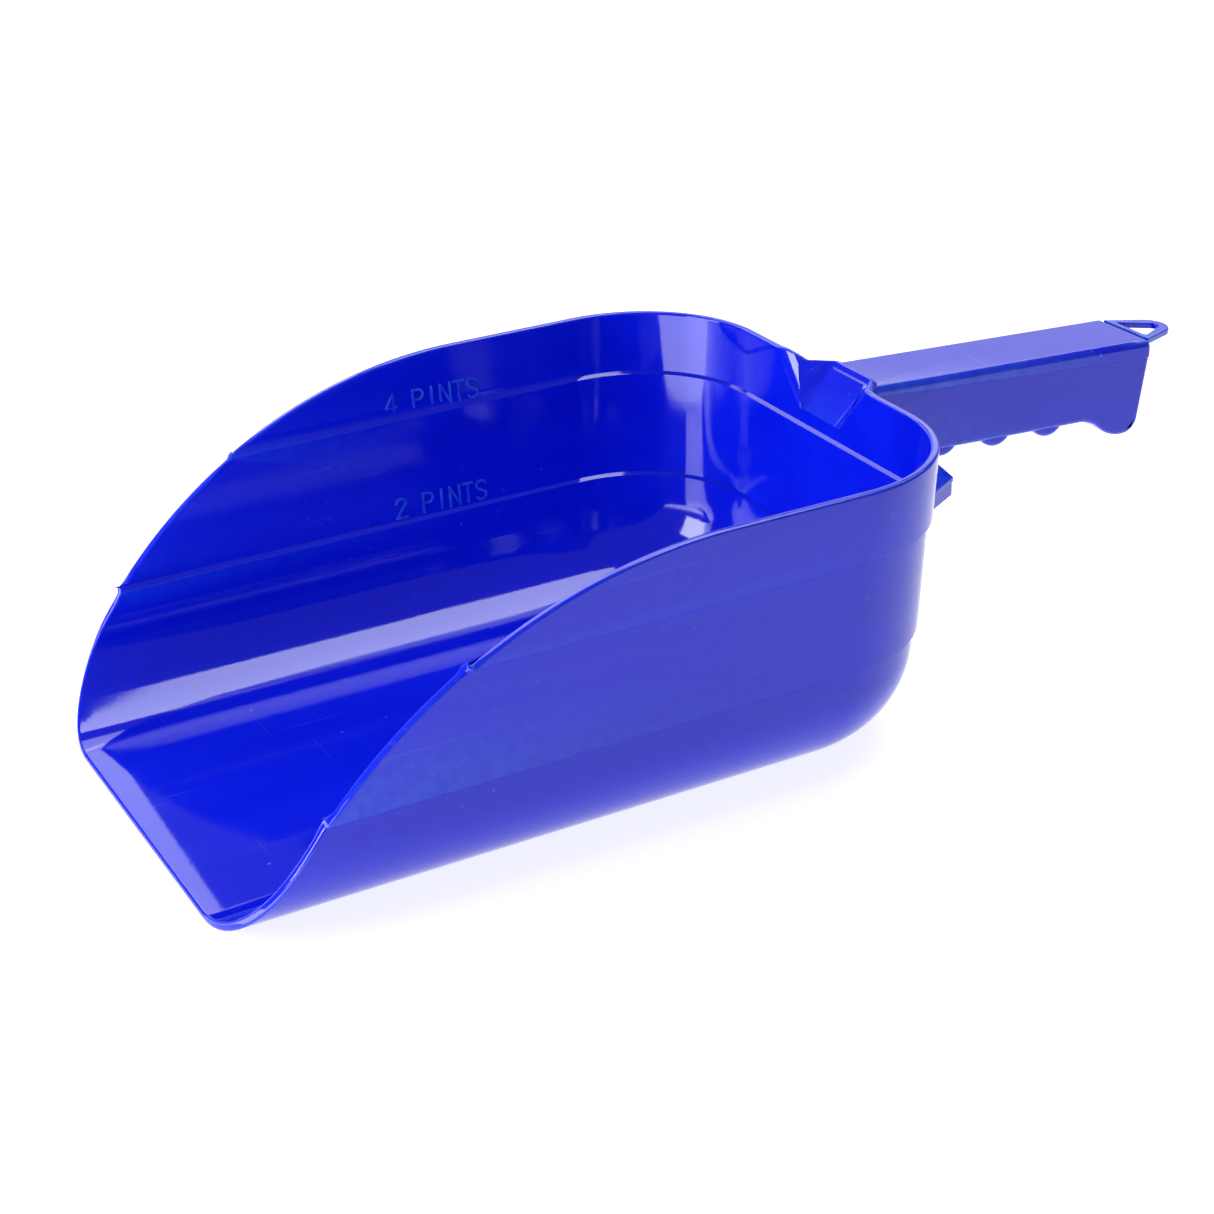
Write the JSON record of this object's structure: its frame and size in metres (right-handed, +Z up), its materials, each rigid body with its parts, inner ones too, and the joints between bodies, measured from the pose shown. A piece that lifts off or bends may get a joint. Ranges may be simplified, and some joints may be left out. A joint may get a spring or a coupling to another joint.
{
  "type": "feed scoop",
  "caption": "One-handed moulded plastic feed scoop with a square deep bowl, swept pouring edge, inner pint ledges, and a ridged handle with a hanging loop.",
  "frame": {"origin": "on the flat underside of the bowl, halfway between the pouring lip and the rear wall, on the line of symmetry", "axes": "+X from the pouring lip towards the handle, +Z up, +Y to the wall that carries the capacity marks"},
  "size_m": [0.3519, 0.1674, 0.0897],
  "materials": {
    "plastic": "glossy royal-blue polypropylene, as moulded, lighter where thin edges catch the light"
  },
  "bodies": {
    "root": {"bowl": "plastic", "rear_pocket": "plastic", "handle": "plastic", "hang_loop": "plastic", "finger_ridge_1": "plastic", "finger_ridge_2": "plastic", "finger_ridge_3": "plastic", "stacking_lug_left": "plastic", "stacking_lug_right": "plastic", "mark_two_pints": "plastic", "mark_four_pints": "plastic"}
  },
  "joints": []
}
